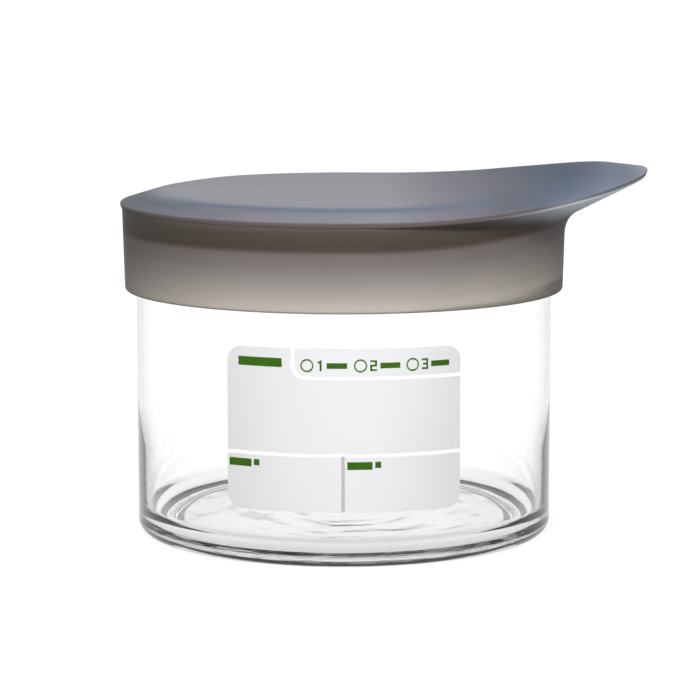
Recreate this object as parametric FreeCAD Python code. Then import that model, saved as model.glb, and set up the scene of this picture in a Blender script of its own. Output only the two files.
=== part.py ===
import FreeCAD, Part
import math
import os

# Wide-mouth glass jar with a soft moulded lid that has an upswept pull lip.
# Lengths are in millimetres and angles in degrees. Z is up.
# The origin is the centre of the ring that the jar stands on.
# The lip points along +X, and the write-on panel faces -Y.

# Glass jar: height and outside
jar_radius = 40.0
jar_height = 61.3
heel_radius = 2.8
standing_ring_inner_radius = 33.5
underside_slope_width = 2.0
underside_rise = 0.8
mouth_chamfer = 0.25

# Glass jar: inside
mouth_wall = 0.85
taper_top_height = 26.0
taper_bottom_height = 18.0
taper_radius = 130.0
inside_corner_radius = 4.5
floor_height = 2.2

# Lid: fits on the glass
skirt_clearance = 0.1
seat_clearance = 0.1
plug_clearance = 0.2

# Lid: skirt and sealing ring
skirt_depth = 14.1
skirt_foot_wall = 2.1
skirt_flare = 0.45
skirt_foot_chamfer = 0.4
lead_in = 0.5
plug_depth = 3.4
plug_ring_wall = 3.2
plug_ring_chamfer = 0.5
recess_above_seat = 0.6

# Lid: border, raised top and pull lip
crease_above_seat = 1.6
crease_overhang = 0.15
rim_above_crease = 1.0
rim_overhang = 0.3
lip_overhang = 15.3
border_rise = 1.5
border_width = 5.8
plateau_step = 1.05
shoulder_drop = 0.2
shoulder_width = 1.5
lip_curve_start = 6.0
lip_edge_curve_radius = 218.0
lip_top_curve_radius = 205.0

# Lid: underside of the lip
flare_slope = 27.0
flare_bend_length = 3.4

# Write-on panel, measured along the curve of the glass
print_thickness = 0.1
panel_half_arc = 22.5
panel_bottom_height = 10.6
lower_field_height = 10.5
main_field_height = 14.2
title_field_height = 5.4
panel_corner_radius = 2.7
line_gap = 0.7
lower_divider_arc = -0.15
tab_arc = 13.07
title_corner_radius = 2.0

# Steps along half of a row of the lid's skin, and across its bend
row_steps = 12
bend_steps = 4

# Sizes that follow from the ones above
mouth_radius = jar_radius - mouth_wall
skirt_foot_radius = jar_radius + skirt_clearance + skirt_foot_wall
skirt_top_radius = skirt_foot_radius + skirt_flare
crease_radius = skirt_top_radius + crease_overhang
rim_radius = crease_radius + rim_overhang
plateau_radius = rim_radius - border_width
lip_reach = rim_radius + lip_overhang
seat_height = jar_height + seat_clearance
skirt_foot_height = seat_height - skirt_depth
crease_height = seat_height + crease_above_seat
rim_height = crease_height + rim_above_crease
border_top_height = rim_height + border_rise
plateau_height = border_top_height + plateau_step
lip_stretch = lip_reach / rim_radius
lower_divider_height = panel_bottom_height + lower_field_height
title_divider_height = lower_divider_height + main_field_height
panel_top_height = title_divider_height + title_field_height
title_divider_arc = tab_arc - panel_half_arc


def point(x, z):
    """A point in the XZ plane, where profiles are drawn."""
    return FreeCAD.Vector(x, 0, z)


def turned(edges):
    """A solid of revolution about Z from the edges of a closed profile in the XZ plane."""
    profile = Part.Face(Part.Wire(Part.__sortEdges__(edges)))
    return profile.revolve(FreeCAD.Vector(0, 0, 0), FreeCAD.Vector(0, 0, 1), 360)


def line(start, end):
    return Part.LineSegment(start, end).toShape()


def arc_about(centre, radius, start_angle, end_angle):
    """An arc in the XZ plane about a centre, with its angles counted up from +X."""
    ends = []
    for angle in (start_angle, (start_angle + end_angle) / 2, end_angle):
        turn = math.radians(angle)
        ends.append(centre + point(radius * math.cos(turn), radius * math.sin(turn)))
    return Part.Arc(*ends).toShape()


def chain(points):
    """Straight edges from point to point."""
    return [line(start, end) for start, end in zip(points, points[1:])]


def make_glass_jar():
    """Straight outside, an inside wall that leans in below a long curve, and a rounded inside corner."""
    lean = math.asin((taper_top_height - taper_bottom_height) / taper_radius)
    into_wall = point(math.cos(lean), -math.sin(lean))
    down_wall = point(-math.sin(lean), -math.cos(lean))
    taper_centre = point(mouth_radius - taper_radius, taper_top_height)
    taper_end = taper_centre + into_wall * taper_radius

    # The corner is tangent to the leaning wall and to the floor.
    above_corner = taper_end - into_wall * inside_corner_radius
    corner_drop = above_corner.z - floor_height - inside_corner_radius
    corner_centre = above_corner + down_wall * (corner_drop / math.cos(lean))
    wall_end = corner_centre + into_wall * inside_corner_radius

    taper = arc_about(taper_centre, taper_radius, 0, -math.degrees(lean))
    corner = arc_about(corner_centre, inside_corner_radius, -math.degrees(lean), -90)
    heel = arc_about(point(jar_radius - heel_radius, heel_radius), heel_radius, -90, 0)
    mouth = chain([
        point(jar_radius, heel_radius),
        point(jar_radius, jar_height - mouth_chamfer),
        point(jar_radius - mouth_chamfer, jar_height),
        point(mouth_radius + mouth_chamfer, jar_height),
        point(mouth_radius, jar_height - mouth_chamfer),
        point(mouth_radius, taper_top_height),
    ])
    base = chain([
        point(corner_centre.x, floor_height),
        point(0, floor_height),
        point(0, underside_rise),
        point(standing_ring_inner_radius - underside_slope_width, underside_rise),
        point(standing_ring_inner_radius, 0),
        point(jar_radius - heel_radius, 0),
    ])
    return turned(mouth + [taper, line(taper_end, wall_end), corner] + base + [heel])


def rise(x, curve_radius):
    """Height gained at x along an arc that leaves the flat part of the lid smoothly."""
    run = max(0.0, x - lip_curve_start)
    return curve_radius - math.sqrt(curve_radius ** 2 - run ** 2)


def row_angles():
    """Angles of a half row's points, from the back of the lid round one side to the tip of the lip."""
    return [math.pi * (1 - step / row_steps) for step in range(row_steps + 1)]


def egg_row(radius, height, curve_radius):
    """A half row that is round at the back and stretched into the lip, and follows the lip's sweep."""
    row = []
    for angle in row_angles():
        x = radius * math.cos(angle)
        if x > 0:
            x = x * lip_stretch
        row.append(FreeCAD.Vector(x, radius * math.sin(angle), height + rise(x, curve_radius)))
    return row


def round_spot(angle, radius, height):
    return FreeCAD.Vector(radius * math.cos(angle), radius * math.sin(angle), height)


def skirt_spot(angle, height):
    """A point on the outside of the skirt, which widens evenly from its foot."""
    share = (height - skirt_foot_height) / (crease_height - skirt_foot_height)
    return round_spot(angle, skirt_foot_radius + share * (skirt_top_radius - skirt_foot_radius), height)


def half_curve(row):
    """A smooth curve through a half row that leaves and meets the XZ plane square on."""
    turn = math.pi / row_steps
    start_speed = row[1].y * turn / math.sin(turn)
    end_speed = row[-2].y * turn / math.sin(turn)
    curve = Part.BSplineCurve()
    curve.interpolate(
        Points=row,
        InitialTangent=FreeCAD.Vector(0, start_speed, 0),
        FinalTangent=FreeCAD.Vector(0, -end_speed, 0),
        Parameters=list(range(len(row))),
        Scale=False,
    )
    return curve


def both_sides(half):
    """A shape and its mirror image in the XZ plane."""
    return [half, half.mirror(FreeCAD.Vector(0, 0, 0), FreeCAD.Vector(0, 1, 0))]


def skin(lower, upper):
    """Faces straight across from one half row to the next."""
    curves = [half_curve(lower), half_curve(upper)]
    surface = Part.BSplineSurface()
    surface.buildFromPolesMultsKnots(
        [list(spots) for spots in zip(*[curve.getPoles() for curve in curves])],
        curves[0].getMultiplicities(),
        [2, 2],
        curves[0].getKnots(),
        [0.0, 1.0],
        False,
        False,
        curves[0].Degree,
        1,
    )
    return both_sides(surface.toShape())


def cap(row):
    """A flat face inside a level row."""
    return Part.Face(Part.Wire(both_sides(half_curve(row).toShape())))


def towards(row, other, lengths):
    """A half row moved towards another one, by its own length at each point."""
    return [spot + (goal - spot).normalize() * length for spot, goal, length in zip(row, other, lengths)]


def bend(start, corner, end):
    """Half rows that lead from one row to another in a soft bend past the corner between them."""
    rows = []
    for step in range(bend_steps + 1):
        share = step / bend_steps
        rows.append([
            first * (1 - share) ** 2 + turn * (2 * share * (1 - share)) + last * share ** 2
            for first, turn, last in zip(start, corner, end)
        ])
    return rows


def make_lid_blank():
    """The lid's outside as one closed skin, with a flat foot and a flat top above the plateau."""
    angles = row_angles()
    foot = [round_spot(angle, skirt_foot_radius - skirt_foot_chamfer, skirt_foot_height) for angle in angles]
    foot_top = [skirt_spot(angle, skirt_foot_height + skirt_foot_chamfer) for angle in angles]
    crease = egg_row(crease_radius, crease_height, lip_edge_curve_radius)
    rim = egg_row(rim_radius, rim_height, lip_edge_curve_radius)
    border_top = egg_row(plateau_radius, border_top_height, lip_top_curve_radius)

    # The shoulder slopes up to the plateau and on past it, so that the plateau trims it cleanly.
    shoulder = egg_row(plateau_radius, plateau_height - shoulder_drop, lip_top_curve_radius)
    crown_radius = plateau_radius - 2 * shoulder_width
    crown = egg_row(crown_radius, plateau_height + shoulder_drop, lip_top_curve_radius)
    top = [FreeCAD.Vector(spot.x, spot.y, plateau_height + lip_reach) for spot in crown]

    # The skirt turns out into the lip at a knee, which lies lower and bends wider the more the lip overhangs.
    full_overhang = crease_radius * lip_stretch - skirt_top_radius
    overhangs = [math.hypot(edge.x, edge.y) - skirt_top_radius for edge in crease]
    drop_share = math.tan(math.radians(flare_slope))
    knee = [
        skirt_spot(angle, edge.z - overhang * drop_share)
        for angle, edge, overhang in zip(angles, crease, overhangs)
    ]
    knee_bend = [flare_bend_length * overhang / full_overhang for overhang in overhangs]
    knee_rows = bend(towards(knee, foot_top, knee_bend), knee, towards(knee, crease, knee_bend))
    rows = [foot, foot_top] + knee_rows + [crease, rim, border_top, shoulder, crown, top]
    skins = [face for lower, upper in zip(rows, rows[1:]) for face in skin(lower, upper)]
    shell = Part.makeShell([cap(foot), cap(top)] + skins)
    shell.sewShape()
    return Part.Solid(shell)


def make_below_plateau():
    """Everything under the raised top: level at the back, then swept up along the lip's arc."""
    reach = lip_reach + rim_radius
    half_depth = 2 * rim_radius
    sweep = math.degrees(math.asin((reach - lip_curve_start) / lip_top_curve_radius))
    centre = point(lip_curve_start, plateau_height + lip_top_curve_radius)
    flat = line(point(-reach, plateau_height), point(lip_curve_start, plateau_height))
    arc = arc_about(centre, lip_top_curve_radius, -90, -90 + sweep)
    arc_end = point(reach, plateau_height + rise(reach, lip_top_curve_radius))
    right = line(arc_end, point(reach, 0))
    bottom = line(point(reach, 0), point(-reach, 0))
    left = line(point(-reach, 0), point(-reach, plateau_height))
    face = Part.Face(Part.Wire([flat, arc, right, bottom, left]))
    face.translate(FreeCAD.Vector(0, -half_depth, 0))
    return face.extrude(FreeCAD.Vector(0, 2 * half_depth, 0))


def make_lid_hollow():
    """The space inside the lid: room for the glass, and a recess inside the sealing ring."""
    inner_radius = jar_radius + skirt_clearance
    ring_outer = mouth_radius - plug_clearance
    ring_inner = ring_outer - plug_ring_wall
    ring_foot = seat_height - plug_depth
    ceiling = seat_height + recess_above_seat
    below = skirt_foot_height - skirt_depth
    corners = [
        point(0, below),
        point(inner_radius + lead_in, below),
        point(inner_radius + lead_in, skirt_foot_height),
        point(inner_radius, skirt_foot_height + lead_in),
        point(inner_radius, seat_height),
        point(ring_outer, seat_height),
        point(ring_outer, ring_foot + plug_ring_chamfer),
        point(ring_outer - plug_ring_chamfer, ring_foot),
        point(ring_inner + plug_ring_chamfer, ring_foot),
        point(ring_inner, ring_foot + plug_ring_chamfer),
        point(ring_inner, ceiling),
        point(0, ceiling),
    ]
    return turned(chain(corners + corners[:1]))


def make_lid():
    """One soft moulding: skirt, sealing ring, bevelled border, raised top and upswept lip."""
    outside = make_lid_blank().common(make_below_plateau())
    return outside.cut(make_lid_hollow())


def across(arc):
    """Sideways place of a line on the glass, from its distance along the curve."""
    return jar_radius * math.sin(arc / jar_radius)


def rounded_outline(corners):
    """A closed face in the XZ plane from (x, z, corner radius) in order."""
    edges = []
    joins = []
    for index, (x, z, radius) in enumerate(corners):
        here = point(x, z)
        before = point(*corners[index - 1][:2]) - here
        after = point(*corners[(index + 1) % len(corners)][:2]) - here
        start = here + before.normalize() * radius
        end = here + after.normalize() * radius
        joins.append((start, end))
        if radius > 0:
            centre = here + before * radius + after * radius
            middle = centre + (here - centre).normalize() * radius
            edges.append(Part.Arc(start, middle, end).toShape())
    for index, (start, end) in enumerate(joins):
        edges.append(line(joins[index - 1][1], start))
    return Part.Face(Part.Wire(Part.__sortEdges__(edges)))


def make_write_on_panel():
    """A thin skin of print on the glass, in four fields with clear lines between them."""
    half_gap = line_gap / 2
    left = across(-panel_half_arc)
    right = across(panel_half_arc)
    middle = across(lower_divider_arc)
    title = across(title_divider_arc)
    low_top = lower_divider_height - half_gap
    high_bottom = lower_divider_height + half_gap
    title_bottom = title_divider_height + half_gap
    main_top = title_divider_height - half_gap
    outer = panel_corner_radius
    inner = title_corner_radius
    outlines = [
        [
            (left, panel_bottom_height, outer),
            (middle - half_gap, panel_bottom_height, 0),
            (middle - half_gap, low_top, 0),
            (left, low_top, 0),
        ],
        [
            (middle + half_gap, panel_bottom_height, 0),
            (right, panel_bottom_height, outer),
            (right, low_top, 0),
            (middle + half_gap, low_top, 0),
        ],
        [
            (left, high_bottom, 0),
            (right, high_bottom, 0),
            (right, main_top, 0),
            (title - half_gap, main_top, inner + line_gap),
            (title - half_gap, panel_top_height, 0),
            (left, panel_top_height, outer),
        ],
        [
            (title + half_gap, title_bottom, inner),
            (right, title_bottom, 0),
            (right, panel_top_height, outer),
            (title + half_gap, panel_top_height, 0),
        ],
    ]
    print_radius = jar_radius + print_thickness
    height = panel_top_height + panel_corner_radius
    band = Part.makeCylinder(print_radius, height).cut(Part.makeCylinder(jar_radius, height))
    towards_front = FreeCAD.Vector(0, -2 * print_radius, 0)
    fields = [band.common(rounded_outline(corners).extrude(towards_front)) for corners in outlines]
    return Part.makeCompound([solid for field in fields for solid in field.Solids])


os.makedirs("parts", exist_ok=True)
nodes = {
    "glass_jar": make_glass_jar(),
    "lid": make_lid(),
    "write_on_panel": make_write_on_panel(),
}
for name, shape in nodes.items():
    shape.exportStep("parts/" + name + ".step")
    box = shape.BoundBox
    print(name, "valid", shape.isValid(), "solids", len(shape.Solids), "volume", round(shape.Volume, 1))
    print("  X", round(box.XMin, 2), round(box.XMax, 2), "Y", round(box.YMin, 2), round(box.YMax, 2))
    print("  Z", round(box.ZMin, 2), round(box.ZMax, 2))
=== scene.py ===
# %% [markdown]
# # A wide-mouth glass jar with a soft lid
# The object is a low glass jar about 80 mm across. A soft grey lid is pushed over its mouth,
# and one side of the lid sweeps up into a pull lip. A pale write-on panel is printed on the glass.
# Three things make its look: clear glass that is only seen by its edges, a matt translucent
# moulding, and a thin skin of print. Each gets its own mesh and its own finish below.
#
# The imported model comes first. It is the fixed frame that every new piece is made around.

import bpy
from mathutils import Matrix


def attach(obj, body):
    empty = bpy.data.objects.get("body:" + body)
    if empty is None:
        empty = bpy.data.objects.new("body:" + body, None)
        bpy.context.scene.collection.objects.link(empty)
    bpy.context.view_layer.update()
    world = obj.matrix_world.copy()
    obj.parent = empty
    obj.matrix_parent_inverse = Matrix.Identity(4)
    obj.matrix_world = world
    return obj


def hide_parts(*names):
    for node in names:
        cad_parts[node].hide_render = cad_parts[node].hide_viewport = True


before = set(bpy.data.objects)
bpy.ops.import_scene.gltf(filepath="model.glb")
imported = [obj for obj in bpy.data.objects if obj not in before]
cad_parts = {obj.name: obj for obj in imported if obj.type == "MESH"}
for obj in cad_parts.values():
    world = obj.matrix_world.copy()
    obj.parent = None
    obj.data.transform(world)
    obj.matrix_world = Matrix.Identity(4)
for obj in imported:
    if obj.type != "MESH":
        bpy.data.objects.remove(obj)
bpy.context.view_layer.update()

# %% Modules and units
import math
import bmesh
import bpy
from mathutils import Vector

MM = 0.001          # every length below is written in millimetres and scaled once at the end
scene = bpy.context.scene
print("scene", scene.name, "in units of", MM, "m")


# %% [markdown]
# ## The camera
# The picture was taken from a little above the lid, from about 0.6 m, with a long lens.
# Where the jar's rims and its straight sides lie in the picture fixes the camera's place,
# its tilt and its lens. A camera looks along its own -Z, so a quarter turn about X
# makes it look along +Y, and a little less than that makes it look down.

# %% Camera
CAMERA_PLACE = Vector((0.0, -592.9, 119.3))
CAMERA_PITCH = 0.1414       # radians below the horizon
CAMERA_YAW = 0.0020         # radians towards +X
FOCAL_PIXELS = 3087.4
PICTURE_PIXELS = 700
SENSOR_WIDTH = 36.0

camera_data = bpy.data.cameras.new("camera")
camera_data.sensor_width = SENSOR_WIDTH
camera_data.lens = FOCAL_PIXELS * SENSOR_WIDTH / PICTURE_PIXELS
camera_data.clip_start = 0.01
camera_data.clip_end = 20.0
camera = bpy.data.objects.new("camera", camera_data)
camera.location = CAMERA_PLACE * MM
camera.rotation_euler = (math.pi / 2 - CAMERA_PITCH, 0.0, -CAMERA_YAW)
scene.collection.objects.link(camera)
scene.camera = camera
print("lens in mm", round(camera_data.lens, 1))


# %% [markdown]
# ## Helpers that every piece uses
# A piece is drawn as a bmesh in millimetres. Its doubles are merged, its faces are turned
# outwards, and then it is scaled to metres and given to an object that sits at the origin.
# Edges that meet at a sharp angle are marked, so that smooth shading stops there.

# %% From a bmesh to a finished object
SHARP_ANGLE = math.radians(32)


def finish_piece(bm, name, body, material, replaced=(), merge=1e-4, smooth=True):
    """Scales a closed bmesh to metres and makes it an object that rides on a body."""
    bmesh.ops.remove_doubles(bm, verts=bm.verts, dist=merge)
    bmesh.ops.recalc_face_normals(bm, faces=bm.faces)
    bmesh.ops.scale(bm, vec=(MM, MM, MM), verts=bm.verts)
    mesh = bpy.data.meshes.new(name)
    bm.to_mesh(mesh)
    bm.free()
    for face in mesh.polygons:
        face.use_smooth = smooth
    if smooth:
        mesh.set_sharp_from_angle(angle=SHARP_ANGLE)
    mesh.materials.append(material)
    piece = bpy.data.objects.new(name, mesh)
    scene.collection.objects.link(piece)
    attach(piece, body)
    for node in replaced:
        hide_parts(node)
    print(name, "vertices", len(mesh.vertices), "faces", len(mesh.polygons))
    return piece


# %% Node helpers
def new_material(name):
    """A material with an empty node tree, its tree, and its shader joined to the output."""
    material = bpy.data.materials.new(name)
    material.use_nodes = True
    tree = material.node_tree
    tree.nodes.clear()
    output = tree.nodes.new("ShaderNodeOutputMaterial")
    shader = tree.nodes.new("ShaderNodeBsdfPrincipled")
    tree.links.new(shader.outputs["BSDF"], output.inputs["Surface"])
    return material, tree, shader


def add_math(tree, operation, first, second=None, third=None):
    """A Math node. Each value is a number or a socket."""
    node = tree.nodes.new("ShaderNodeMath")
    node.operation = operation
    for socket, value in zip(node.inputs, (first, second, third)):
        if value is None:
            continue
        if isinstance(value, (int, float)):
            socket.default_value = value
        else:
            tree.links.new(value, socket)
    return node.outputs[0]


def add_ramp(tree, value, stops, span=1.0):
    """A colour ramp with (position, grey or colour) stops, which lie on a span from 0."""
    node = tree.nodes.new("ShaderNodeValToRGB")
    node.color_ramp.interpolation = "LINEAR"
    elements = node.color_ramp.elements
    while len(elements) < len(stops):
        elements.new(0.5)
    for element, (position, colour) in zip(elements, stops):
        element.position = position / span
        if isinstance(colour, (int, float)):
            colour = (colour, colour, colour)
        element.color = (*colour, 1.0)
    tree.links.new(value, node.inputs["Fac"])
    return node.outputs["Color"]


# A Mix node has sockets for numbers, vectors and colours, so they are reached by their place.
MIX_SHARE, MIX_NUMBER_A, MIX_NUMBER_B, MIX_COLOUR_A, MIX_COLOUR_B = 0, 2, 3, 6, 7
MIX_NUMBER_OUT, MIX_COLOUR_OUT = 0, 2


def add_mix(tree, share, first, second, blend="MIX"):
    """Mixes two colours by a share. Each value is a number, a colour or a socket."""
    node = tree.nodes.new("ShaderNodeMix")
    node.data_type = "RGBA"
    node.blend_type = blend
    for place, value in ((MIX_SHARE, share), (MIX_COLOUR_A, first), (MIX_COLOUR_B, second)):
        socket = node.inputs[place]
        if isinstance(value, (int, float)):
            socket.default_value = value
        elif isinstance(value, tuple):
            socket.default_value = (*value, 1.0)
        else:
            tree.links.new(value, socket)
    return node.outputs[MIX_COLOUR_OUT]


def add_noise(tree, coordinate, scale, detail=3.0, roughness=0.5):
    """Noise from 0 to 1 on a coordinate."""
    node = tree.nodes.new("ShaderNodeTexNoise")
    node.inputs["Scale"].default_value = scale
    node.inputs["Detail"].default_value = detail
    node.inputs["Roughness"].default_value = roughness
    tree.links.new(coordinate, node.inputs["Vector"])
    return node.outputs["Fac"]


def object_coordinates(tree):
    return tree.nodes.new("ShaderNodeTexCoord").outputs["Object"]


def separate(tree, vector):
    """The X, Y and Z outputs of a vector."""
    node = tree.nodes.new("ShaderNodeSeparateXYZ")
    tree.links.new(vector, node.inputs[0])
    return node.outputs


# %% [markdown]
# ## A shared effect: the mottle of a moulded or printed surface
# No moulded or printed surface is quite even. Faint clouds come from the flow of the material,
# and a fine grain from the skin of the mould. Both the lid and the panel need it, so it is a
# node group with named inputs. It puts out a mask round 0.5 and a height, and nothing else.

# %% The mottle group
def make_mottle_group():
    group = bpy.data.node_groups.new("moulded_mottle", "ShaderNodeTree")
    for name, kind, value in (
        ("Coordinate", "NodeSocketVector", None),
        ("Cloud Scale", "NodeSocketFloat", 40.0),
        ("Grain Scale", "NodeSocketFloat", 1500.0),
        ("Grain Share", "NodeSocketFloat", 0.3),
    ):
        socket = group.interface.new_socket(name, in_out="INPUT", socket_type=kind)
        if value is not None:
            socket.default_value = value
    for name in ("Mask", "Height"):
        group.interface.new_socket(name, in_out="OUTPUT", socket_type="NodeSocketFloat")
    start = group.nodes.new("NodeGroupInput")
    end = group.nodes.new("NodeGroupOutput")
    clouds = add_noise(group, start.outputs["Coordinate"], 1.0, detail=2.0)
    grain = add_noise(group, start.outputs["Coordinate"], 1.0, detail=4.0, roughness=0.6)
    group.links.new(start.outputs["Cloud Scale"], clouds.node.inputs["Scale"])
    group.links.new(start.outputs["Grain Scale"], grain.node.inputs["Scale"])
    mask = group.nodes.new("ShaderNodeMix")
    group.links.new(start.outputs["Grain Share"], mask.inputs[MIX_SHARE])
    group.links.new(clouds, mask.inputs[MIX_NUMBER_A])
    group.links.new(grain, mask.inputs[MIX_NUMBER_B])
    group.links.new(mask.outputs[MIX_NUMBER_OUT], end.inputs["Mask"])
    group.links.new(grain, end.inputs["Height"])
    return group


mottle_group = make_mottle_group()
print("node group", mottle_group.name)


def add_mottle(tree, coordinate, cloud_scale, grain_scale, grain_share):
    """The shared mottle with its own values, as (mask, height)."""
    node = tree.nodes.new("ShaderNodeGroup")
    node.node_tree = mottle_group
    tree.links.new(coordinate, node.inputs["Coordinate"])
    node.inputs["Cloud Scale"].default_value = cloud_scale
    node.inputs["Grain Scale"].default_value = grain_scale
    node.inputs["Grain Share"].default_value = grain_share
    return node.outputs["Mask"], node.outputs["Height"]


def add_bump(tree, shader, height, distance, strength=1.0):
    """Feeds a height, in metres when multiplied by the distance, into the shader's normal."""
    node = tree.nodes.new("ShaderNodeBump")
    node.inputs["Distance"].default_value = distance
    node.inputs["Strength"].default_value = strength
    tree.links.new(height, node.inputs["Height"])
    tree.links.new(node.outputs["Normal"], shader.inputs["Normal"])


# %% [markdown]
# ## The glass
# The jar is blown or pressed clear glass. Nothing of its colour shows: it is seen by what its
# edges bend. A real refracting shader on a mesh with two true walls does this by itself.
# A slight waviness in the floor bends the light into pale streaks.

# %% Glass finish
GLASS_IOR = 1.5
WAVES_PER_METRE = 80.0      # noise lengths along X and Y
WAVES_PER_RADIUS = 170.0    # and more of them outwards from the axis
WAVE_DETAIL = 1.5
WAVE_HEIGHT = 0.00022       # metres
WAVE_RANGE = 20.0           # mm above the standing plane
WAVE_STOPS = [(0.0, 1.0), (2.4, 1.0), (6.0, 0.0)]      # the waves end above the floor, in mm
SMALLEST_SQUARE = 1e-8      # keeps the square root away from 0 on the axis


def make_clear_glass():
    material, tree, shader = new_material("clear_glass")
    shader.inputs["Base Color"].default_value = (1.0, 1.0, 1.0, 1.0)
    shader.inputs["Roughness"].default_value = 0.0
    shader.inputs["IOR"].default_value = GLASS_IOR
    shader.inputs["Transmission Weight"].default_value = 1.0
    parts = separate(tree, object_coordinates(tree))

    # The waves run round the base: they change faster with the radius than along the circle.
    squares = add_math(tree, "ADD", add_math(tree, "POWER", parts["X"], 2.0),
                       add_math(tree, "POWER", parts["Y"], 2.0))
    radius = add_math(tree, "SQRT", add_math(tree, "MAXIMUM", squares, SMALLEST_SQUARE))
    around = tree.nodes.new("ShaderNodeCombineXYZ")
    for axis, value, waves_per in (
        ("X", parts["X"], WAVES_PER_METRE),
        ("Y", parts["Y"], WAVES_PER_METRE),
        ("Z", radius, WAVES_PER_RADIUS),
    ):
        tree.links.new(add_math(tree, "MULTIPLY", value, waves_per), around.inputs[axis])
    waves = add_noise(tree, around.outputs[0], 1.0, detail=WAVE_DETAIL)
    height = add_math(tree, "DIVIDE", parts["Z"], WAVE_RANGE * MM)
    low = add_ramp(tree, height, WAVE_STOPS, WAVE_RANGE)
    add_bump(tree, shader, add_math(tree, "MULTIPLY", waves, low), WAVE_HEIGHT)
    return material


clear_glass = make_clear_glass()
print("material", clear_glass.name, "index", GLASS_IOR)

# %% [markdown]
# ## The jar as a lathe would turn it
# A jar is round, so it is half a section turned about its axis. The section is drawn with a
# single point: extruding a vertex draws a straight line, and spinning it about a centre draws
# an arc that is truly tangent. The wall is even at the mouth, thickens downwards along one
# long curve, and ends in a heavy floor over a slightly hollow underside.

# %% Drawing a section with one moving vertex
def draw_to(bm, vertex, x, z):
    """Draws a straight line from a vertex to a new one."""
    made = bmesh.ops.extrude_vert_indiv(bm, verts=[vertex])
    made["verts"][0].co = Vector((x, 0.0, z))
    return made["verts"][0]


def draw_steps(bm, vertex, start, end, steps):
    """Draws a straight line between two (x, z) places, on from a vertex at its start."""
    for step in range(1, steps + 1):
        share = step / steps
        vertex = draw_to(bm, vertex, *(a + (b - a) * share for a, b in zip(start, end)))
    return vertex


def draw_arc(bm, vertex, centre_x, centre_z, degrees, steps):
    """Draws an arc about a centre, counter-clockwise for a positive angle."""
    made = bmesh.ops.spin(
        bm,
        geom=[vertex],
        cent=(centre_x, 0.0, centre_z),
        axis=(0.0, -1.0, 0.0),
        angle=math.radians(degrees),
        steps=steps,
    )
    return [item for item in made["geom_last"] if isinstance(item, bmesh.types.BMVert)][0]


def turn_section(bm, steps):
    """Turns the drawn section into a closed solid about Z."""
    bmesh.ops.spin(
        bm,
        geom=list(bm.verts) + list(bm.edges),
        cent=(0.0, 0.0, 0.0),
        axis=(0.0, 0.0, 1.0),
        angle=2 * math.pi,
        steps=steps,
        use_merge=True,
    )


# %% The jar's section
JAR_RADIUS = 40.0
JAR_HEIGHT = 61.3
HEEL_RADIUS = 2.8
STANDING_RING_RADIUS = 33.5
UNDERSIDE_RISE = 0.8
UNDERSIDE_SLOPE_WIDTH = 2.0
MOUTH_WALL = 0.85
TAPER_TOP = 26.0
TAPER_BOTTOM = 18.0
TAPER_RADIUS = 130.0
CORNER_RADIUS = 4.5
FLOOR_HEIGHT = 2.2
UNDERSIDE_BEND = 2.0
TURN_STEPS = 256
ON_AXIS = 1e-4              # a vertex nearer to the axis than this lies on it


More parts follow.
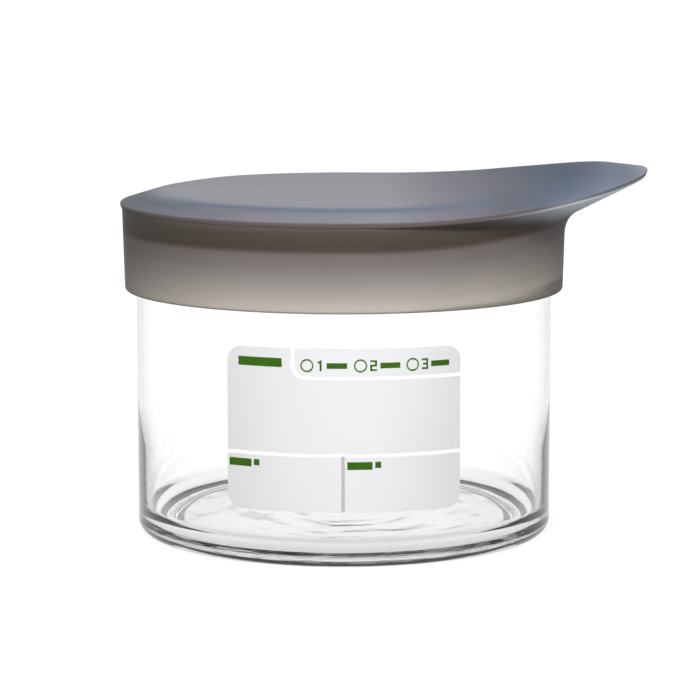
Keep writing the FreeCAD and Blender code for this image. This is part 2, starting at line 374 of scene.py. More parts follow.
def make_glass_jar():
    """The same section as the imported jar, with finer arcs and a rounded rim."""
    half_wall = MOUTH_WALL / 2
    mouth_radius = JAR_RADIUS - MOUTH_WALL
    lean = math.asin((TAPER_TOP - TAPER_BOTTOM) / TAPER_RADIUS)
    taper_x = mouth_radius - TAPER_RADIUS
    taper_end_x = taper_x + TAPER_RADIUS * math.cos(lean)
    corner_z = FLOOR_HEIGHT + CORNER_RADIUS
    drop = TAPER_BOTTOM + CORNER_RADIUS * math.sin(lean) - corner_z
    corner_x = taper_end_x - CORNER_RADIUS * math.cos(lean) - drop * math.tan(lean)
    wall_end_x = corner_x + CORNER_RADIUS * math.cos(lean)
    wall_end_z = corner_z - CORNER_RADIUS * math.sin(lean)
    slope = math.atan(UNDERSIDE_RISE / UNDERSIDE_SLOPE_WIDTH)
    slope_bend = UNDERSIDE_BEND * math.tan(slope / 2)
    slope_top = STANDING_RING_RADIUS - UNDERSIDE_SLOPE_WIDTH - slope_bend

    rim_centre = JAR_HEIGHT - half_wall

    bm = bmesh.new()
    # Down the inside: the rounded mouth, the even wall, the taper, the corner and the floor.
    vertex = bm.verts.new((JAR_RADIUS, 0.0, rim_centre))
    vertex = draw_arc(bm, vertex, JAR_RADIUS - half_wall, rim_centre, 180, 16)
    vertex = draw_steps(bm, vertex, (mouth_radius, rim_centre), (mouth_radius, TAPER_TOP), 10)
    vertex = draw_arc(bm, vertex, taper_x, TAPER_TOP, -math.degrees(lean), 12)
    vertex = draw_steps(bm, vertex, (taper_end_x, TAPER_BOTTOM), (wall_end_x, wall_end_z), 8)
    vertex = draw_arc(bm, vertex, corner_x, corner_z, math.degrees(lean) - 90, 28)
    vertex = draw_steps(bm, vertex, (corner_x, FLOOR_HEIGHT), (0.0, FLOOR_HEIGHT), 15)

    # Out along the underside, down its slope to the standing ring, and up the outside.
    vertex = draw_to(bm, vertex, 0.0, UNDERSIDE_RISE)
    vertex = draw_steps(bm, vertex, (0.0, UNDERSIDE_RISE), (slope_top, UNDERSIDE_RISE), 10)
    bend_centre = UNDERSIDE_RISE - UNDERSIDE_BEND
    vertex = draw_arc(bm, vertex, slope_top, bend_centre, -math.degrees(slope), 6)
    slope_foot = STANDING_RING_RADIUS + slope_bend
    turn_x = slope_foot - UNDERSIDE_BEND * math.sin(slope)
    vertex = draw_to(bm, vertex, turn_x, UNDERSIDE_BEND * (1 - math.cos(slope)))
    vertex = draw_arc(bm, vertex, slope_foot, UNDERSIDE_BEND, math.degrees(slope), 6)
    vertex = draw_to(bm, vertex, JAR_RADIUS - HEEL_RADIUS, 0.0)
    vertex = draw_arc(bm, vertex, JAR_RADIUS - HEEL_RADIUS, HEEL_RADIUS, 90, 20)
    draw_steps(bm, vertex, (JAR_RADIUS, HEEL_RADIUS), (JAR_RADIUS, rim_centre), 12)
    print("section vertices", len(bm.verts), "flat floor radius", round(corner_x, 2))
    bmesh.ops.remove_doubles(bm, verts=bm.verts, dist=1e-4)

    # The line down the axis only closed the section, and it isn't turned.
    on_axis = [edge for edge in bm.edges if all(abs(v.co.x) < ON_AXIS for v in edge.verts)]
    bmesh.ops.delete(bm, geom=on_axis, context="EDGES")
    turn_section(bm, TURN_STEPS)
    finish_piece(bm, "turned_glass", "jar", clear_glass, ["glass_jar"])


make_glass_jar()

# %% [markdown]
# ## The lid's finish
# The lid is translucent silicone, matt, with a bluish grey where the light falls on its top and
# a warmer grey on its skirt. Its light and shade are painted into its colour: painted shade where
# the moulding is thick and little light comes through, and below the seat, where the skirt is a
# thin wall over clear glass, a painted glow that makes it paler towards its foot. The top and the
# lip get painted shade and painted light too. The colour follows the height in the moulding, which
# each vertex of the lid carries.

# %% Lid finish
LEVEL_RANGE = 20.0      # mm above the skirt's foot that the stored level spans

# Painted shade and painted glow on the skirt, by height: darkest where the moulding is thick under
# the top, paler towards its thin foot as if lit through.
SKIRT_SHADE_AND_GLOW_STOPS = [
    (0.0, (0.34, 0.32, 0.285)),
    (0.5, (0.56, 0.52, 0.47)),
    (1.4, (0.547, 0.507, 0.456)),
    (2.4, (0.481, 0.438, 0.402)),
    (4.2, (0.402, 0.362, 0.331)),
    (6.1, (0.310, 0.286, 0.271)),
    (7.9, (0.252, 0.231, 0.218)),
    (8.8, (0.222, 0.197, 0.189)),
    (10.1, (0.206, 0.181, 0.173)),
    (10.7, (0.186, 0.162, 0.151)),
    (11.3, (0.105, 0.087, 0.076)),
    (11.8, (0.079, 0.064, 0.052)),
    (13.5, (0.089, 0.074, 0.061)),
    (14.5, (0.095, 0.080, 0.067)),
    (15.1, (0.115, 0.096, 0.088)),
    (15.6, (0.137, 0.114, 0.109)),
    (16.2, (0.160, 0.140, 0.138)),
    (16.7, (0.190, 0.165, 0.172)),
]

# Painted shade and light on the top along X in mm, from over the jar's mouth to the tip of the lip:
# darker along the lip, paler at its thin tip as if lit through.
TOP_RANGE = 60.0
TOP_LIGHT_AND_SHADE_STOPS = [
    (0.0, (0.245, 0.245, 0.272)),
    (8.0, (0.245, 0.245, 0.275)),
    (17.0, (0.178, 0.180, 0.205)),
    (30.0, (0.112, 0.117, 0.142)),
    (42.0, (0.060, 0.083, 0.120)),
    (48.0, (0.078, 0.088, 0.132)),
    (54.0, (0.140, 0.157, 0.200)),
    (57.0, (0.235, 0.260, 0.296)),
    (59.0, (0.300, 0.330, 0.360)),
]
# Painted shade on the sloping border: how much darker it is than the raised middle, along X in mm
# from the axis, most on the side away from the lip.
BORDER_RANGE = 100.0
BORDER_SHADE_STOPS = [
    (-43.0, (0.42, 0.47, 0.52)),
    (-30.0, (0.55, 0.59, 0.62)),
    (-16.0, (0.75, 0.76, 0.78)),
    (0.0, (0.84, 0.84, 0.86)),
    (16.0, (0.96, 0.96, 0.97)),
    (30.0, (1.0, 1.0, 1.0)),
]
# Painted light: the lip's thin edge is paler and bluer, as if lit through.
LIP_EDGE_LIGHT_COLOUR = (0.17, 0.205, 0.26)
# Painted light: the lip's underside turns pale, as if lit through the thin lip.
LIP_UNDERSIDE_LIGHT_COLOUR = (0.80, 0.86, 0.92)
# A painted glow: the lip's underside gives off a little light of its own.
LIP_PAINTED_GLOW_COLOUR = (0.16, 0.17, 0.18)    # the little daylight that comes through the thin lip
LIP_UNDERSIDE_ALONG = (18.0, 46.0)      # mm along X over which the underside turns pale
LIP_UNDERSIDE_FULL = 0.9                # the stored share at which it is fully pale
# Painted light: a paler patch where the lip leaves the skirt, over the dark band.
LIP_ROOT_ALONG = (35.0, 42.0)           # mm along X where the lip leaves the skirt
LIP_ROOT_LEVELS = (0.55, 0.64)          # and the stored levels
LIP_ROOT_LIGHT_COLOUR = (0.42, 0.42, 0.42)
LIP_ROOT_SHARE = 0.8
# Painted shade on the step round the raised middle, fading out along X towards the lip.
STEP_SHADE_COLOUR = (0.12, 0.145, 0.19)       # the step round the raised middle
STEP_SHARE = 0.95
STEP_END_ALONG = (18.0, 38.0)           # mm along X over which the step fades out
MOULD_CLOUDS, MOULD_GRAIN, MOULD_GRAIN_SHARE = 45.0, 2600.0, 0.35
MOULD_SHADES = [(0.3, 0.95), (0.7, 1.05)]
MOULD_GRAIN_HEIGHT = 0.00002            # metres


def add_attribute(tree, name):
    """A value that each vertex carries."""
    node = tree.nodes.new("ShaderNodeAttribute")
    node.attribute_name = name
    return node.outputs["Fac"]


def add_share(tree, value, low, high):
    """0 below a low value, 1 above a high one, and a smooth change between."""
    node = tree.nodes.new("ShaderNodeMapRange")
    node.interpolation_type = "SMOOTHSTEP"
    tree.links.new(value, node.inputs["Value"])
    node.inputs["From Min"].default_value = low
    node.inputs["From Max"].default_value = high
    return node.outputs["Result"]


def make_grey_silicone():
    material, tree, shader = new_material("grey_silicone")
    coordinate = object_coordinates(tree)
    mask, height = add_mottle(tree, coordinate, MOULD_CLOUDS, MOULD_GRAIN, MOULD_GRAIN_SHARE)
    along = add_math(tree, "DIVIDE", separate(tree, coordinate)["X"], MM)

    # The skirt and the underside of the lip, with their painted shade and painted light.
    level = add_attribute(tree, "lid_level")
    skirt = add_ramp(tree, level, SKIRT_SHADE_AND_GLOW_STOPS, LEVEL_RANGE)
    # Painted light that makes the lip's underside pale.
    under_share = add_share(tree, add_attribute(tree, "lip_under"), 0.0, LIP_UNDERSIDE_FULL)
    under_lip = add_math(tree, "MULTIPLY", under_share,
                         add_share(tree, along, *LIP_UNDERSIDE_ALONG))
    # Painted light at the root of the lip.
    lip_root = add_math(tree, "MULTIPLY", add_share(tree, along, *LIP_ROOT_ALONG),
                        add_share(tree, level, *LIP_ROOT_LEVELS))
    lip_root = add_math(tree, "MULTIPLY", lip_root, LIP_ROOT_SHARE)
    skirt = add_mix(tree, lip_root, skirt, LIP_ROOT_LIGHT_COLOUR)
    side = add_mix(tree, under_lip, skirt, LIP_UNDERSIDE_LIGHT_COLOUR)
    # A painted glow on the lip's underside, though it is no lamp.
    glow = add_mix(tree, under_lip, (0.0, 0.0, 0.0), LIP_PAINTED_GLOW_COLOUR)
    tree.links.new(glow, shader.inputs["Emission Color"])
    shader.inputs["Emission Strength"].default_value = 1.0

    # The top: its raised middle, the step round that, and the sloping border, with painted shade
    # along the lip, on the step and on the border, and painted light at the lip's tip.
    top = add_ramp(tree, add_math(tree, "DIVIDE", along, TOP_RANGE), TOP_LIGHT_AND_SHADE_STOPS, TOP_RANGE)
    step_left = add_math(tree, "SUBTRACT", 1.0, add_share(tree, along, *STEP_END_ALONG))
    step_share = add_math(tree, "MULTIPLY", add_attribute(tree, "lid_step"), step_left)
    top = add_mix(tree, add_math(tree, "MULTIPLY", step_share, STEP_SHARE), top, STEP_SHADE_COLOUR)
    # Painted shade that darkens the sloping border along X.
    darker = add_ramp(tree, add_math(tree, "MULTIPLY_ADD", along, 1 / BORDER_RANGE, 0.5),
                      [(BORDER_RANGE / 2 + x, colour) for x, colour in BORDER_SHADE_STOPS], BORDER_RANGE)
    top = add_mix(tree, add_attribute(tree, "lid_border"), top,
                  add_mix(tree, 1.0, top, darker, "MULTIPLY"))

    base = add_mix(tree, add_attribute(tree, "lid_top"), side, top)
    # Painted light on the lip's thin edge.
    base = add_mix(tree, add_attribute(tree, "lip_edge"), base, LIP_EDGE_LIGHT_COLOUR)
    shade = add_mix(tree, 1.0, base, add_ramp(tree, mask, MOULD_SHADES), "MULTIPLY")
    tree.links.new(shade, shader.inputs["Base Color"])
    shader.inputs["Roughness"].default_value = 0.62
    shader.inputs["IOR"].default_value = 1.41
    shader.inputs["Specular IOR Level"].default_value = 0.15
    shader.inputs["Sheen Weight"].default_value = 0.07
    shader.inputs["Sheen Roughness"].default_value = 0.15
    shader.inputs["Subsurface Weight"].default_value = 0.2
    shader.inputs["Subsurface Radius"].default_value = (1.0, 0.95, 0.9)
    shader.inputs["Subsurface Scale"].default_value = 0.0012
    add_bump(tree, shader, height, MOULD_GRAIN_HEIGHT, 0.5)
    return material


grey_silicone = make_grey_silicone()
print("material", grey_silicone.name, "skirt stops", len(SKIRT_SHADE_AND_GLOW_STOPS), "top stops", len(TOP_LIGHT_AND_SHADE_STOPS))

# %% [markdown]
# ## The lid
# The lid is one moulding. Its inside is round, but its top is stretched towards +X and swept up
# into a lip, so it isn't a plain turned shape. Its section is different at every angle, and yet
# it always has the same corners in the same order: in under the ceiling, round the sealing ring,
# down inside the skirt, up its outside, out along the underside of the lip, round the border,
# and in over the raised top. So the mesh grows as a net: one ring of vertices is extruded again
# and again, and each new ring is put on the next corner of the section at its own angle.

# %% The lid's sizes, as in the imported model
SKIRT_CLEARANCE = 0.1
SEAT_CLEARANCE = 0.1
PLUG_CLEARANCE = 0.2
SKIRT_DEPTH = 14.1
SKIRT_FOOT_WALL = 2.1
SKIRT_FLARE = 0.45
SKIRT_FOOT_ROUND = 0.5
LEAD_IN = 0.5
PLUG_DEPTH = 3.4
PLUG_WALL = 3.2
PLUG_CHAMFER = 0.5
RECESS = 0.6
CREASE_ABOVE_SEAT = 1.6
CREASE_OVERHANG = 0.15
RIM_ABOVE_CREASE = 1.0
RIM_OVERHANG = 0.3
LIP_OVERHANG = 15.3
BORDER_RISE = 1.5
BORDER_WIDTH = 5.8
PLATEAU_STEP = 1.05
LIP_START = 6.0
LIP_EDGE_RADIUS = 218.0
LIP_TOP_RADIUS = 205.0
FLARE_SLOPE = math.radians(27)
FLARE_BEND = 3.4
STEP_RUNS_OUT = (12.0, 40.0)        # x over which the step dies away towards the lip
STEP_SOFTENS = (25.0, 40.0)         # and -x over which it softens on the far side
CROWN_RINGS = 12

SKIRT_FOOT_RADIUS = JAR_RADIUS + SKIRT_CLEARANCE + SKIRT_FOOT_WALL
SKIRT_TOP_RADIUS = SKIRT_FOOT_RADIUS + SKIRT_FLARE
CREASE_RADIUS = SKIRT_TOP_RADIUS + CREASE_OVERHANG
RIM_RADIUS = CREASE_RADIUS + RIM_OVERHANG
PLATEAU_RADIUS = RIM_RADIUS - BORDER_WIDTH
LIP_REACH = RIM_RADIUS + LIP_OVERHANG
SEAT = JAR_HEIGHT + SEAT_CLEARANCE
SKIRT_FOOT = SEAT - SKIRT_DEPTH
CREASE = SEAT + CREASE_ABOVE_SEAT
RIM = CREASE + RIM_ABOVE_CREASE
BORDER_TOP = RIM + BORDER_RISE
PLATEAU = BORDER_TOP + PLATEAU_STEP
STRETCH = LIP_REACH / RIM_RADIUS
FULL_OVERHANG = CREASE_RADIUS * STRETCH - SKIRT_TOP_RADIUS
print("lid from", round(SKIRT_FOOT, 2), "to plateau", round(PLATEAU, 2))


# %% Places on the lid
def rise(x, radius):
    """Height gained at x along the arc that lifts the lip."""
    run = max(0.0, x - LIP_START)
    return radius - math.sqrt(radius ** 2 - run ** 2)


def clamp_share(value):
    return min(1.0, max(0.0, value))


def smooth_share(value):
    """0 to 1 with a soft start and end."""
    value = clamp_share(value)
    return value * value * (3 - 2 * value)


def share_between(value, low, high):
    """0 below a low value, 1 above a high one, with a soft start and end."""
    return smooth_share((value - low) / (high - low))


def round_place(angle, radius, height):
    return Vector((radius * math.cos(angle), radius * math.sin(angle), height))


def egg_place(angle, radius, height, sweep_radius):
    """A place on the stretched and lifted outline."""
    x = radius * math.cos(angle)
    if x > 0:
        x = x * STRETCH
    return Vector((x, radius * math.sin(angle), height + rise(x, sweep_radius)))


def skirt_place(angle, height):
    """A place on the outside of the skirt, which widens a little upwards."""
    share = (height - SKIRT_FOOT) / (CREASE - SKIRT_FOOT)
    radius = SKIRT_FOOT_RADIUS + share * (SKIRT_TOP_RADIUS - SKIRT_FOOT_RADIUS)
    return round_place(angle, radius, height)


# %% One section of the lid
def soften(corners, bend_steps=6):
    """Rounds the corners of a section: each is (place, bend length), and 0 leaves it sharp."""
    path = []
    for index, (corner, bend) in enumerate(corners):
        if bend == 0:
            path.append(corner)
            continue
        start = corner + (corners[index - 1][0] - corner).normalized() * bend
        end = corner + (corners[index + 1][0] - corner).normalized() * bend
        for step in range(bend_steps + 1):
            t = step / bend_steps
            path.append(start * (1 - t) ** 2 + corner * 2 * t * (1 - t) + end * t ** 2)
    return path


def lid_section(angle):
    """The whole section at an angle, from the ceiling of the recess to the middle of the top."""
    inner = JAR_RADIUS + SKIRT_CLEARANCE
    plug_outer = JAR_RADIUS - MOUTH_WALL - PLUG_CLEARANCE
    plug_inner = plug_outer - PLUG_WALL
    plug_foot = SEAT - PLUG_DEPTH
    ceiling = SEAT + RECESS
    crease = egg_place(angle, CREASE_RADIUS, CREASE, LIP_EDGE_RADIUS)
    rim = egg_place(angle, RIM_RADIUS, RIM, LIP_EDGE_RADIUS)
    gone = share_between(rim.x, *STEP_RUNS_OUT)         # 1 where the step has run out
    far_side = share_between(-rim.x, *STEP_SOFTENS)     # 1 on the side away from the lip
    border_height = BORDER_TOP + (0.84 * gone + 0.5 * far_side) * PLATEAU_STEP
    border_top = egg_place(angle, PLATEAU_RADIUS - 0.8 * far_side, border_height, LIP_TOP_RADIUS)
    shoulder_radius = PLATEAU_RADIUS - 0.7 - 1.8 * gone - 1.8 * far_side
    shoulder = egg_place(angle, shoulder_radius, PLATEAU - 0.2 + 0.14 * gone, LIP_TOP_RADIUS)
    crown_radius = PLATEAU_RADIUS - 3.0 - 2.5 * (gone + far_side)
    crown = egg_place(angle, crown_radius, PLATEAU, LIP_TOP_RADIUS)
    overhang = math.hypot(crease.x, crease.y) - SKIRT_TOP_RADIUS
    knee = skirt_place(angle, crease.z - overhang * math.tan(FLARE_SLOPE))
    corners = [
        (round_place(angle, plug_inner - 6, ceiling), 0),
        (round_place(angle, plug_inner - 1, ceiling), 0),
        (round_place(angle, plug_inner, ceiling), 0.3),
        (round_place(angle, plug_inner, plug_foot), 0.5),
        (round_place(angle, plug_outer, plug_foot), 0.5),
        (round_place(angle, plug_outer, SEAT), 0.2),
        (round_place(angle, inner, SEAT), 0.2),
        (round_place(angle, inner, SKIRT_FOOT + 3), 0),
        (round_place(angle, inner, SKIRT_FOOT + LEAD_IN), 0.2),
        (round_place(angle, inner + LEAD_IN, SKIRT_FOOT), 0.2),
        (round_place(angle, SKIRT_FOOT_RADIUS, SKIRT_FOOT), SKIRT_FOOT_ROUND),
        (skirt_place(angle, SKIRT_FOOT + 2.5), 0),
        (skirt_place(angle, SKIRT_FOOT + 5.0), 0),
        (skirt_place(angle, SKIRT_FOOT + 7.0), 0),
        (knee, FLARE_BEND * overhang / FULL_OVERHANG),
        (knee.lerp(crease, 0.6), 0),
        (knee.lerp(crease, 0.85), 0),
        (crease, 0.03),
        (rim, 0.4),
        (rim.lerp(border_top, 0.3), 0),
        (rim.lerp(border_top, 0.6), 0),
        (border_top, 0.5 + 1.0 * gone),
        (shoulder, 0.45),
        (crown, 0),
    ]
    path = soften(corners)
    for ring in range(1, CROWN_RINGS + 1):
        radius = crown_radius * (1 - ring / (CROWN_RINGS + 1))
        path.append(egg_place(angle, radius, PLATEAU, LIP_TOP_RADIUS))
    return path


# %% Growing the lid ring by ring
RING_VERTICES = 256


def make_lid():
    bm = bmesh.new()
    angles = [2 * math.pi * index / RING_VERTICES for index in range(RING_VERTICES)]
    sections = [lid_section(angle) for angle in angles]
    order = bm.verts.layers.int.new("order")
    bmesh.ops.create_circle(bm, cap_ends=True, segments=RING_VERTICES, radius=1.0)
    for vertex in bm.verts:
        turn = math.atan2(vertex.co.y, vertex.co.x) / (2 * math.pi)
        vertex[order] = round(turn * RING_VERTICES) % RING_VERTICES
        vertex.co = sections[vertex[order]][0]
    edges = list(bm.edges)
    for ring in range(1, len(sections[0])):
        made = bmesh.ops.extrude_edge_only(bm, edges=edges)["geom"]
        edges = [item for item in made if isinstance(item, bmesh.types.BMEdge)]
        edges = [edge for edge in edges if len(edge.link_faces) == 1]
        for vertex in {vertex for edge in edges for vertex in edge.verts}:
            vertex.co = sections[vertex[order]][ring]
    middle = bmesh.ops.edgeloop_fill(bm, edges=edges)["faces"]
    bmesh.ops.poke(bm, faces=middle)
    mark_lid(bm)
    print("rings", len(sections[0]))
    finish_piece(bm, "moulded_lid", "lid", grey_silicone, ["lid"])


# %% What each place on the lid carries for its finish
def mark_lid(bm):
    """Stores each vertex's level in the moulding, and its shares of the parts of the finish, which
    place its painted shade and painted light.
    """
    level = bm.verts.layers.float.new("lid_level")
    top = bm.verts.layers.float.new("lid_top")
    step = bm.verts.layers.float.new("lid_step")
    edge = bm.verts.layers.float.new("lip_edge")
    under = bm.verts.layers.float.new("lip_under")
    border = bm.verts.layers.float.new("lid_border")
    for vertex in bm.verts:
        x, y, z = vertex.co
        # The height with the lip's sweep taken off, below the rim and on the top.
        flat = z - rise(x, LIP_EDGE_RADIUS)
        flat_top = z - rise(x, LIP_TOP_RADIUS)
        vertex[level] = clamp_share((flat - SKIRT_FOOT) / LEVEL_RANGE)
        vertex[top] = clamp_share((flat - RIM + 0.25) / 0.4)
        vertex[step] = clamp_share(1.0 - abs(flat_top - BORDER_TOP - 0.15) / 0.8)
        # How far out it is, as a share of the rim's own distance.
        out = math.hypot(x / STRETCH if x > 0 else x, y) / RIM_RADIUS
        vertex[border] = clamp_share((out - 0.85) / 0.06)
        above = clamp_share((flat - CREASE) / 0.3)
        tip = share_between(x, 48, 57)
        along_lip = clamp_share((x - 30) / 22)
        near_edge = clamp_share((out - 0.78) / 0.2)
        vertex[edge] = along_lip * near_edge * above * (1 - 0.85 * tip)
        vertex[under] = clamp_share((math.hypot(x, y) - SKIRT_TOP_RADIUS) / 10) * (1 - above)


make_lid()

# %% [markdown]
# ## The write-on panel
# A frosted pale grey field is printed on the glass in four parts, with clear lines between them.
# It follows the curve of the glass, and it is thin enough to have no edge to speak of.
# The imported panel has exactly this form, so it stays, and only gets a finish.

# %% Panel finish
PRINT_CLOUDS, PRINT_GRAIN, PRINT_GRAIN_SHARE = 60.0, 3000.0, 0.5
PRINT_COLOURS = [(0.35, (0.93, 0.94, 0.95)), (0.65, (0.97, 0.975, 0.98))]
PRINT_GRAIN_HEIGHT = 0.00001        # metres, for the ink too


def make_pale_print():
    material, tree, shader = new_material("pale_print")
    coordinate = object_coordinates(tree)
    mask, height = add_mottle(tree, coordinate, PRINT_CLOUDS, PRINT_GRAIN, PRINT_GRAIN_SHARE)
    tree.links.new(add_ramp(tree, mask, PRINT_COLOURS), shader.inputs["Base Color"])
    shader.inputs["Roughness"].default_value = 0.7
    shader.inputs["Alpha"].default_value = 0.94
    add_bump(tree, shader, height, PRINT_GRAIN_HEIGHT, 0.4)
    return material


pale_print = make_pale_print()
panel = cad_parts["write_on_panel"]
panel.data.materials.clear()
panel.data.materials.append(pale_print)
print("panel", panel.name, "has", pale_print.name)

# %% [markdown]
# ## The marks on the panel
# The panel is a form: a title, three things to tick and two fields to fill in. The marks are a
# coat of green ink over the pale print, and the line between the two lower fields is white ink.
# Each is drawn flat first, with the arc length as X and the height as Y, and then wrapped round
# the glass and given the thickness of a coat of ink.

# %% Marks drawn flat
PANEL_RADIUS = JAR_RADIUS + 0.1     # the outside of the pale print
INK_THICKNESS = 0.03
MARKS_OFF_PANEL = 0.05              # how far the marks lie off the print, so that they don't mix
DIVIDER_OFF_GLASS = 0.07
BAR_COLUMN = 0.6                    # mm of arc for each column of a bar
TICK_RING_CORNERS = 40


def add_bar(bm, left, bottom, width, height):
    """A flat bar, with enough columns to bend round the glass."""
    columns = max(1, round(width / BAR_COLUMN))
    verts = bmesh.ops.create_grid(bm, x_segments=columns, y_segments=1, size=0.5)["verts"]
    bmesh.ops.scale(bm, vec=(width, height, 1.0), verts=verts)
    bmesh.ops.translate(bm, vec=(left + width / 2, bottom + height / 2, 0.0), verts=verts)


def add_tick_ring(bm, centre, middle, radius, line):
    """A flat ring to tick."""
    verts = bmesh.ops.create_circle(bm, cap_ends=True, segments=TICK_RING_CORNERS,
                                     radius=radius)["verts"]
    bmesh.ops.translate(bm, vec=(centre, middle, 0.0), verts=verts)
    disc = verts[0].link_faces[0]
    bmesh.ops.inset_individual(bm, faces=[disc], thickness=line)
    bmesh.ops.delete(bm, geom=[disc], context="FACES")


DIGIT_STROKES = {
    # left, bottom, width and height of each stroke, as shares of the digit's box
    1: [(0.45, 0.0, 0.3, 1.0), (0.15, 0.72, 0.3, 0.16)],
    2: [(0.0, 0.0, 1.0, 0.16), (0.0, 0.16, 0.3, 0.26), (0.0, 0.42, 1.0, 0.16),
        (0.7, 0.58, 0.3, 0.26), (0.0, 0.84, 1.0, 0.16)],
    3: [(0.0, 0.0, 1.0, 0.16), (0.7, 0.16, 0.3, 0.26), (0.2, 0.42, 0.8, 0.16),
        (0.7, 0.58, 0.3, 0.26), (0.0, 0.84, 1.0, 0.16)],
}


def add_digit(bm, digit, left, bottom, width, height):
    """A digit made of straight strokes."""
    for x, y, w, h in DIGIT_STROKES[digit]:
        add_bar(bm, left + x * width, bottom + y * height, w * width, h * height)


def wrap_round_glass(bm, radius):
    """Bends a flat drawing round the front of the glass: X becomes the arc, Y the height."""
    for vertex in bm.verts:
        angle = vertex.co.x / JAR_RADIUS
        vertex.co = Vector((radius * math.sin(angle), -radius * math.cos(angle), vertex.co.y))


# %% Ink finish
INK_CLOUDS, INK_GRAIN, INK_GRAIN_SHARE = 90.0, 4000.0, 0.6


def make_ink(name, dark, light):
    material, tree, shader = new_material(name)
    coordinate = object_coordinates(tree)
    mask, height = add_mottle(tree, coordinate, INK_CLOUDS, INK_GRAIN, INK_GRAIN_SHARE)
    tree.links.new(add_ramp(tree, mask, [(0.35, dark), (0.65, light)]), shader.inputs["Base Color"])
    shader.inputs["Roughness"].default_value = 0.6
    add_bump(tree, shader, height, PRINT_GRAIN_HEIGHT, 0.3)
    return material


green_ink = make_ink("green_ink", (0.078, 0.235, 0.010), (0.095, 0.27, 0.016))
white_ink = make_ink("white_ink", (0.95, 0.95, 0.95), (0.98, 0.98, 0.98))
print("materials", green_ink.name, white_ink.name)


# %% The marks
# Each bar is its left end, foot, width and height, in mm round and up the glass.
TITLE_BAR = (-20.0, 37.3, 8.6, 1.6)
TICK_CENTRES = {1: -6.71, 2: 3.0, 3: 12.67}
FIELD_LEFTS = (-22.0, 0.6)
DIVIDER_BAR = (-0.5, 10.7, 0.7, 10.3)
INK_MERGE = 1e-6


def coat_with_ink(bm, name, radius, ink):
    """Wraps a flat drawing round the glass and gives it the thickness of a coat of ink."""
    wrap_round_glass(bm, radius)
    bmesh.ops.solidify(bm, geom=list(bm.faces), thickness=INK_THICKNESS)
    finish_piece(bm, name, "jar", ink, merge=INK_MERGE, smooth=False)


def make_green_marks():
    bm = bmesh.new()
    add_bar(bm, *TITLE_BAR)
    for digit, centre in TICK_CENTRES.items():
        add_tick_ring(bm, centre, 37.7, 1.2, 0.26)
        add_digit(bm, digit, centre + 1.75, 36.75, 1.25, 1.95)
        add_bar(bm, centre + 3.6, 37.2, 3.7, 1.0)
    for left in FIELD_LEFTS:
        add_bar(bm, left, 18.6, 4.6, 1.4)
        add_bar(bm, left + 5.1, 18.9, 1.1, 1.1)
    coat_with_ink(bm, "green_marks", PANEL_RADIUS + MARKS_OFF_PANEL, green_ink)


def make_divider():
    """White print in the gap between the two lower fields."""
    bm = bmesh.new()
    add_bar(bm, *DIVIDER_BAR)
    coat_with_ink(bm, "lower_divider", JAR_RADIUS + DIVIDER_OFF_GLASS, white_ink)


make_green_marks()
make_divider()

# %% [markdown]
# ## The stage
# A white floor and a white surround, the same all round. The floor is white paper to the camera,
# and it still takes a faint shadow from the object. In the glass, what is reflected often, what
# lies close round the foot and what is high overhead are darker, and this draws the glass's edges.

# %% Floor
SEEN_WHITE_SHARE = 0.8      # how much of the floor's look is its own glow, where it is seen
FLOOR_FOR_LIGHT = 0.06      # how pale the floor is where it only lights other things
FLOOR_REACH = 4.0           # metres from the jar to each side of the floor
FLOOR_DROP = 0.0001         # metres below the standing plane
WORLD_FOR_LIGHT = 0.02      # how much the surround lights things
SEEN_LEVEL = 1.14           # how white the surround is where it is seen
MOST_REFLECTIONS = 16.0     # the most reflections that the fade counts
REFLECTION_STOPS = [(0.0, 1.0), (1.0, 0.88), (2.0, 0.74), (3.0, 0.62), (4.0, 0.42), (5.0, 0.24),
                    (6.0, 0.08), (8.0, 0.0)]
# The painted shadow round the jar's foot, seen only through the glass, by distance from the axis.
NEAR_RANGE = 60.0           # mm from the axis
FLOOR_SHADOW_STOPS = [(0.0, 0.93), (20.0, 0.90), (30.0, 0.76), (35.0, 0.84), (40.0, 0.92), (48.0, 1.0)]
# How bright the surround is in the glass, by the sine of the elevation.
SKY_STOPS = [(0.0, 1.0), (0.25, 1.0), (0.40, 0.60), (0.65, 0.25), (1.0, 0.15)]


def seen_directly(tree):
    """1 where the camera, a reflection or a view through glass meets the surface, else 0."""
    path = tree.nodes.new("ShaderNodeLightPath")
    seen = add_math(tree, "MAXIMUM", path.outputs["Is Camera Ray"], path.outputs["Is Glossy Ray"])
    return add_math(tree, "MAXIMUM", seen, path.outputs["Is Transmission Ray"])


def seen_level(tree):
    """White where it is seen straight or through glass, and darker with each reflection."""
    path = tree.nodes.new("ShaderNodeLightPath")
    depth = add_math(tree, "DIVIDE", path.outputs["Glossy Depth"], MOST_REFLECTIONS)
    fade = add_ramp(tree, depth, REFLECTION_STOPS, MOST_REFLECTIONS)
    return add_math(tree, "MULTIPLY", fade, SEEN_LEVEL)


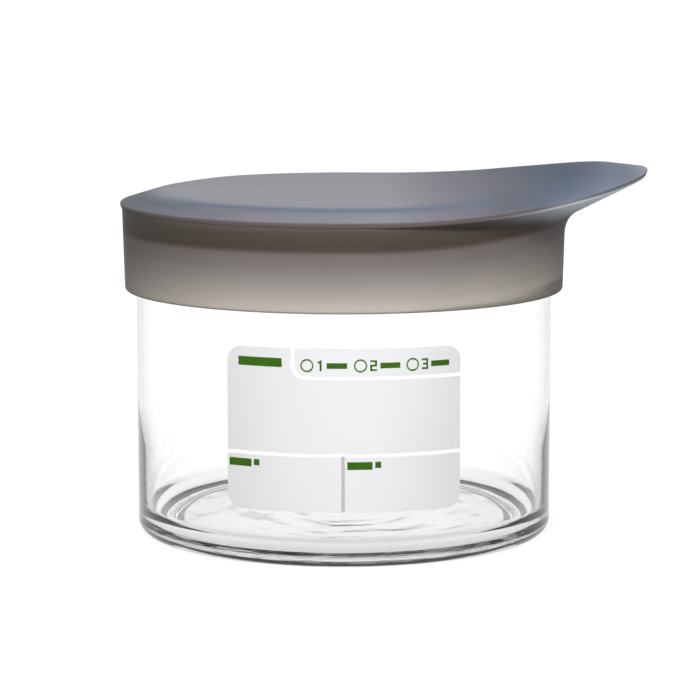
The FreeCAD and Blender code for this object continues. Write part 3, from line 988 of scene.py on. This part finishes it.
def make_floor():
    material, tree, shader = new_material("white_floor")
    pale = add_mix(tree, seen_directly(tree), (FLOOR_FOR_LIGHT,) * 3, (0.9, 0.9, 0.9))
    tree.links.new(pale, shader.inputs["Base Color"])
    shader.inputs["Roughness"].default_value = 0.9
    shader.inputs["Specular IOR Level"].default_value = 0.0
    glow = tree.nodes.new("ShaderNodeEmission")
    tree.links.new(seen_level(tree), glow.inputs["Strength"])

    # A painted shadow: under the jar and close round its foot the floor is darker where it is seen
    # through the glass, and it stays white to the camera.
    reach = tree.nodes.new("ShaderNodeVectorMath")
    reach.operation = "LENGTH"
    tree.links.new(object_coordinates(tree), reach.inputs[0])
    near = add_ramp(tree, add_math(tree, "DIVIDE", reach.outputs["Value"], NEAR_RANGE * MM),
                    FLOOR_SHADOW_STOPS, NEAR_RANGE)
    path = tree.nodes.new("ShaderNodeLightPath")
    near = add_mix(tree, path.outputs["Is Camera Ray"], near, (1.0, 1.0, 1.0))
    tree.links.new(near, glow.inputs["Color"])
    mix = tree.nodes.new("ShaderNodeMixShader")
    share = add_math(tree, "MULTIPLY", seen_directly(tree), SEEN_WHITE_SHARE)
    tree.links.new(share, mix.inputs["Fac"])
    tree.links.new(shader.outputs["BSDF"], mix.inputs[1])
    tree.links.new(glow.outputs["Emission"], mix.inputs[2])
    output = next(node for node in tree.nodes if node.type == "OUTPUT_MATERIAL")
    tree.links.new(mix.outputs["Shader"], output.inputs["Surface"])
    bm = bmesh.new()
    bmesh.ops.create_grid(bm, x_segments=1, y_segments=1, size=FLOOR_REACH)
    mesh = bpy.data.meshes.new("floor")
    bm.to_mesh(mesh)
    bm.free()
    mesh.materials.append(material)
    floor = bpy.data.objects.new("floor", mesh)
    floor.location.z = -FLOOR_DROP
    scene.collection.objects.link(floor)
    print(floor.name, "reaches", FLOOR_REACH, "m")


make_floor()


# %% World
def make_world():
    world = bpy.data.worlds.new("white_studio")
    world.use_nodes = True
    tree = world.node_tree
    tree.nodes.clear()
    output = tree.nodes.new("ShaderNodeOutputWorld")
    lit = tree.nodes.new("ShaderNodeBackground")
    lit.inputs["Color"].default_value = (1.0, 1.0, 1.0, 1.0)
    lit.inputs["Strength"].default_value = WORLD_FOR_LIGHT
    seen = tree.nodes.new("ShaderNodeBackground")
    seen.inputs["Color"].default_value = (1.0, 1.0, 1.0, 1.0)
    direction = separate(tree, tree.nodes.new("ShaderNodeTexCoord").outputs["Generated"])
    sky = add_ramp(tree, direction["Z"], SKY_STOPS)
    path = tree.nodes.new("ShaderNodeLightPath")
    sky = add_mix(tree, path.outputs["Is Camera Ray"], sky, (1.0, 1.0, 1.0))
    tree.links.new(add_math(tree, "MULTIPLY", seen_level(tree), sky), seen.inputs["Strength"])
    mix = tree.nodes.new("ShaderNodeMixShader")
    tree.links.new(seen_directly(tree), mix.inputs["Fac"])
    tree.links.new(lit.outputs[0], mix.inputs[1])
    tree.links.new(seen.outputs[0], mix.inputs[2])
    tree.links.new(mix.outputs[0], output.inputs["Surface"])
    scene.world = world
    print("world", world.name)


make_world()

# %% [markdown]
# ## The lights
# A soft sun shines almost straight down, from a little behind the lid. A lamp 0.2 m across
# stands in front and above, and lights the skirt, the panel and its marks.

# %% Lamps
LAMP_AIM = Vector((0.0, 0.0, 0.04))     # metres: half way up the glass and lid
MOST_BOUNCES = 40


def add_lamp(name, kind, place, size, power):
    """A soft lamp that faces the middle of the jar, and isn't seen in the glass.

    A sun's size is the angle it fills, and an area lamp's is its side in metres."""
    data = bpy.data.lights.new(name, kind)
    data.energy = power
    if kind == "SUN":
        data.angle = size
    else:
        data.size = size
    lamp = bpy.data.objects.new(name, data)
    lamp.location = place
    aim = LAMP_AIM - Vector(place)
    lamp.rotation_euler = aim.to_track_quat("-Z", "Y").to_euler()
    lamp.visible_glossy = False
    lamp.visible_transmission = False
    scene.collection.objects.link(lamp)
    print(name, "power", power)


add_lamp("high_lamp", "SUN", (0.0, 0.1, 1.0), math.radians(20), 2.3)
add_lamp("front_lamp", "AREA", (0.0, -0.5, 0.26), 0.2, 2.85)

# Light bends and reflects many times in the thick foot of the glass before it comes out.
scene.cycles.max_bounces = MOST_BOUNCES
scene.cycles.transmission_bounces = MOST_BOUNCES
scene.cycles.glossy_bounces = MOST_BOUNCES

scene.view_settings.view_transform = "Standard"
